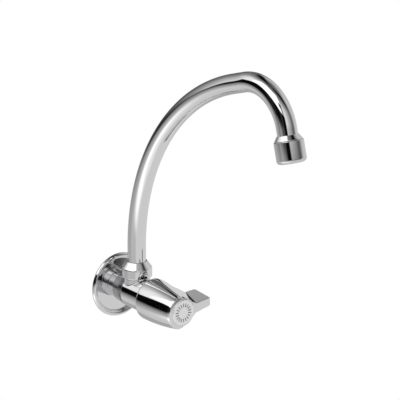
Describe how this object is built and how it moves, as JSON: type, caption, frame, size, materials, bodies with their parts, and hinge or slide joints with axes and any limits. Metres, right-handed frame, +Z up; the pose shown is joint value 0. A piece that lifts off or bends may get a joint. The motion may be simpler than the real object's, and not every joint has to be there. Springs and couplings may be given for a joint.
{
  "type": "bar faucet",
  "caption": "Wall-mounted chrome tap: round flange, horizontal valve, tall swivelling swan-neck spout with an aerator, and a tapered barrel handle with a flat side wing.",
  "frame": {"origin": "centre of the inlet thread at the wall face", "axes": "+Z up, -Y out of the wall along the valve's axis into the room, +X to the side that the handle's wing points to when closed"},
  "size_m": [0.0649, 0.2506, 0.2505],
  "materials": {
    "chrome": "polished",
    "cap": "polished",
    "brass": "machined",
    "steel": "plain",
    "ceramic": "lapped",
    "rubber": "matte",
    "nylon": "moulded"
  },
  "bodies": {
    "tap_body": {"wall_flange": "chrome", "valve_body": "chrome", "seat_gasket": "rubber", "fixed_disc": "ceramic", "bonnet": "brass", "bonnet_seal": "rubber", "thrust_washer": "nylon", "spout_nut": "chrome", "split_ring": "nylon", "glide_washer": "nylon"},
    "lever": {"moving_disc": "ceramic", "spindle": "brass", "spindle_seals": "rubber", "spindle_clip": "steel", "spline_insert": "nylon", "handle": "chrome", "handle_screw": "steel", "index_cap": "cap"},
    "spout": {"spout_foot": "brass", "spout_seals": "rubber", "spout_tube": "chrome", "nozzle": "chrome", "aerator_shell": "chrome", "aerator_gasket": "rubber", "aerator_core": "nylon", "aerator_screen": "steel"}
  },
  "joints": [
    {"name": "lever_turn", "type": "hinge", "parent": "tap_body", "child": "lever", "pos_m": [0, -0.057, 0], "axis": [0, -1, 0], "range_deg": [0, 90]},
    {"name": "spout_swivel", "type": "hinge", "parent": "tap_body", "child": "spout", "pos_m": [0, -0.0285, 0.022], "axis": [0, 0, 1], "range_deg": [-95, 95]}
  ]
}
